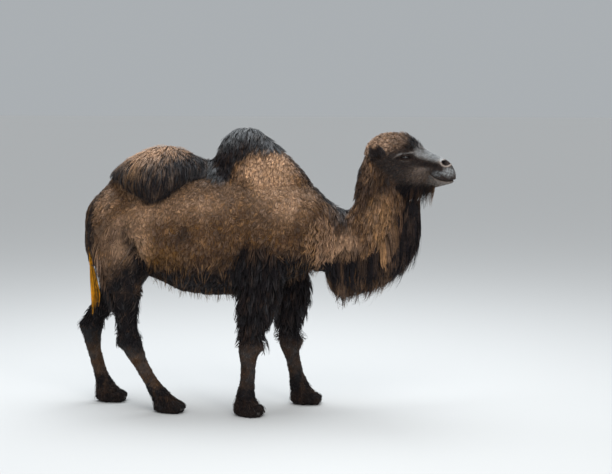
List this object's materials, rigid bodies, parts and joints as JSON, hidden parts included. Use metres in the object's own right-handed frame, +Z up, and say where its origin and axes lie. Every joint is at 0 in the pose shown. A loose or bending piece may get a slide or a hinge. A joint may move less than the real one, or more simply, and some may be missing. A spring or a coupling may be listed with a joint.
{
  "type": "camel",
  "caption": "Two-humped Bactrian camel standing in a slow stride, life size, as a still display model with its rear hump slumped to one side.",
  "frame": {"origin": "on the ground below the middle of the animal's bounding box", "axes": "+X towards the nose, +Z up, the animal's right side towards -Y"},
  "size_m": [2.7344, 0.804, 2.022],
  "materials": {
    "coat": "short curled wool, damp, brown with tan shoulder and flank",
    "dark_coat": "long straight guard hair, near black with brown tips",
    "face_coat": "short close fur, bare grey lips and nostril rims",
    "leg_coat": "short dense dark fur, shaggy above the knee",
    "tail_hair": "long straight amber hair",
    "eye": "wet dark brown eyeball",
    "nail": "dull dark horn"
  },
  "bodies": {
    "root": {"trunk": "coat", "neck": "coat", "hump_front": "dark_coat", "hump_rear": "dark_coat", "mane": "dark_coat", "head": "face_coat", "jaw": "face_coat", "ear_right": "dark_coat", "ear_left": "dark_coat", "eye_right": "eye", "eye_left": "eye", "foreleg_right_upper": "leg_coat", "foreleg_right_lower": "leg_coat", "forefoot_right": "leg_coat", "forefoot_right_nail_right": "nail", "forefoot_right_nail_left": "nail", "foreleg_left_upper": "leg_coat", "foreleg_left_lower": "leg_coat", "forefoot_left": "leg_coat", "forefoot_left_nail_right": "nail", "forefoot_left_nail_left": "nail", "hindleg_right_upper": "leg_coat", "hindleg_right_lower": "leg_coat", "hindfoot_right": "leg_coat", "hindfoot_right_nail_right": "nail", "hindfoot_right_nail_left": "nail", "hindleg_left_upper": "leg_coat", "hindleg_left_lower": "leg_coat", "hindfoot_left": "leg_coat", "hindfoot_left_nail_right": "nail", "hindfoot_left_nail_left": "nail", "tail_dock": "dark_coat", "tail_tuft": "tail_hair"}
  },
  "joints": []
}
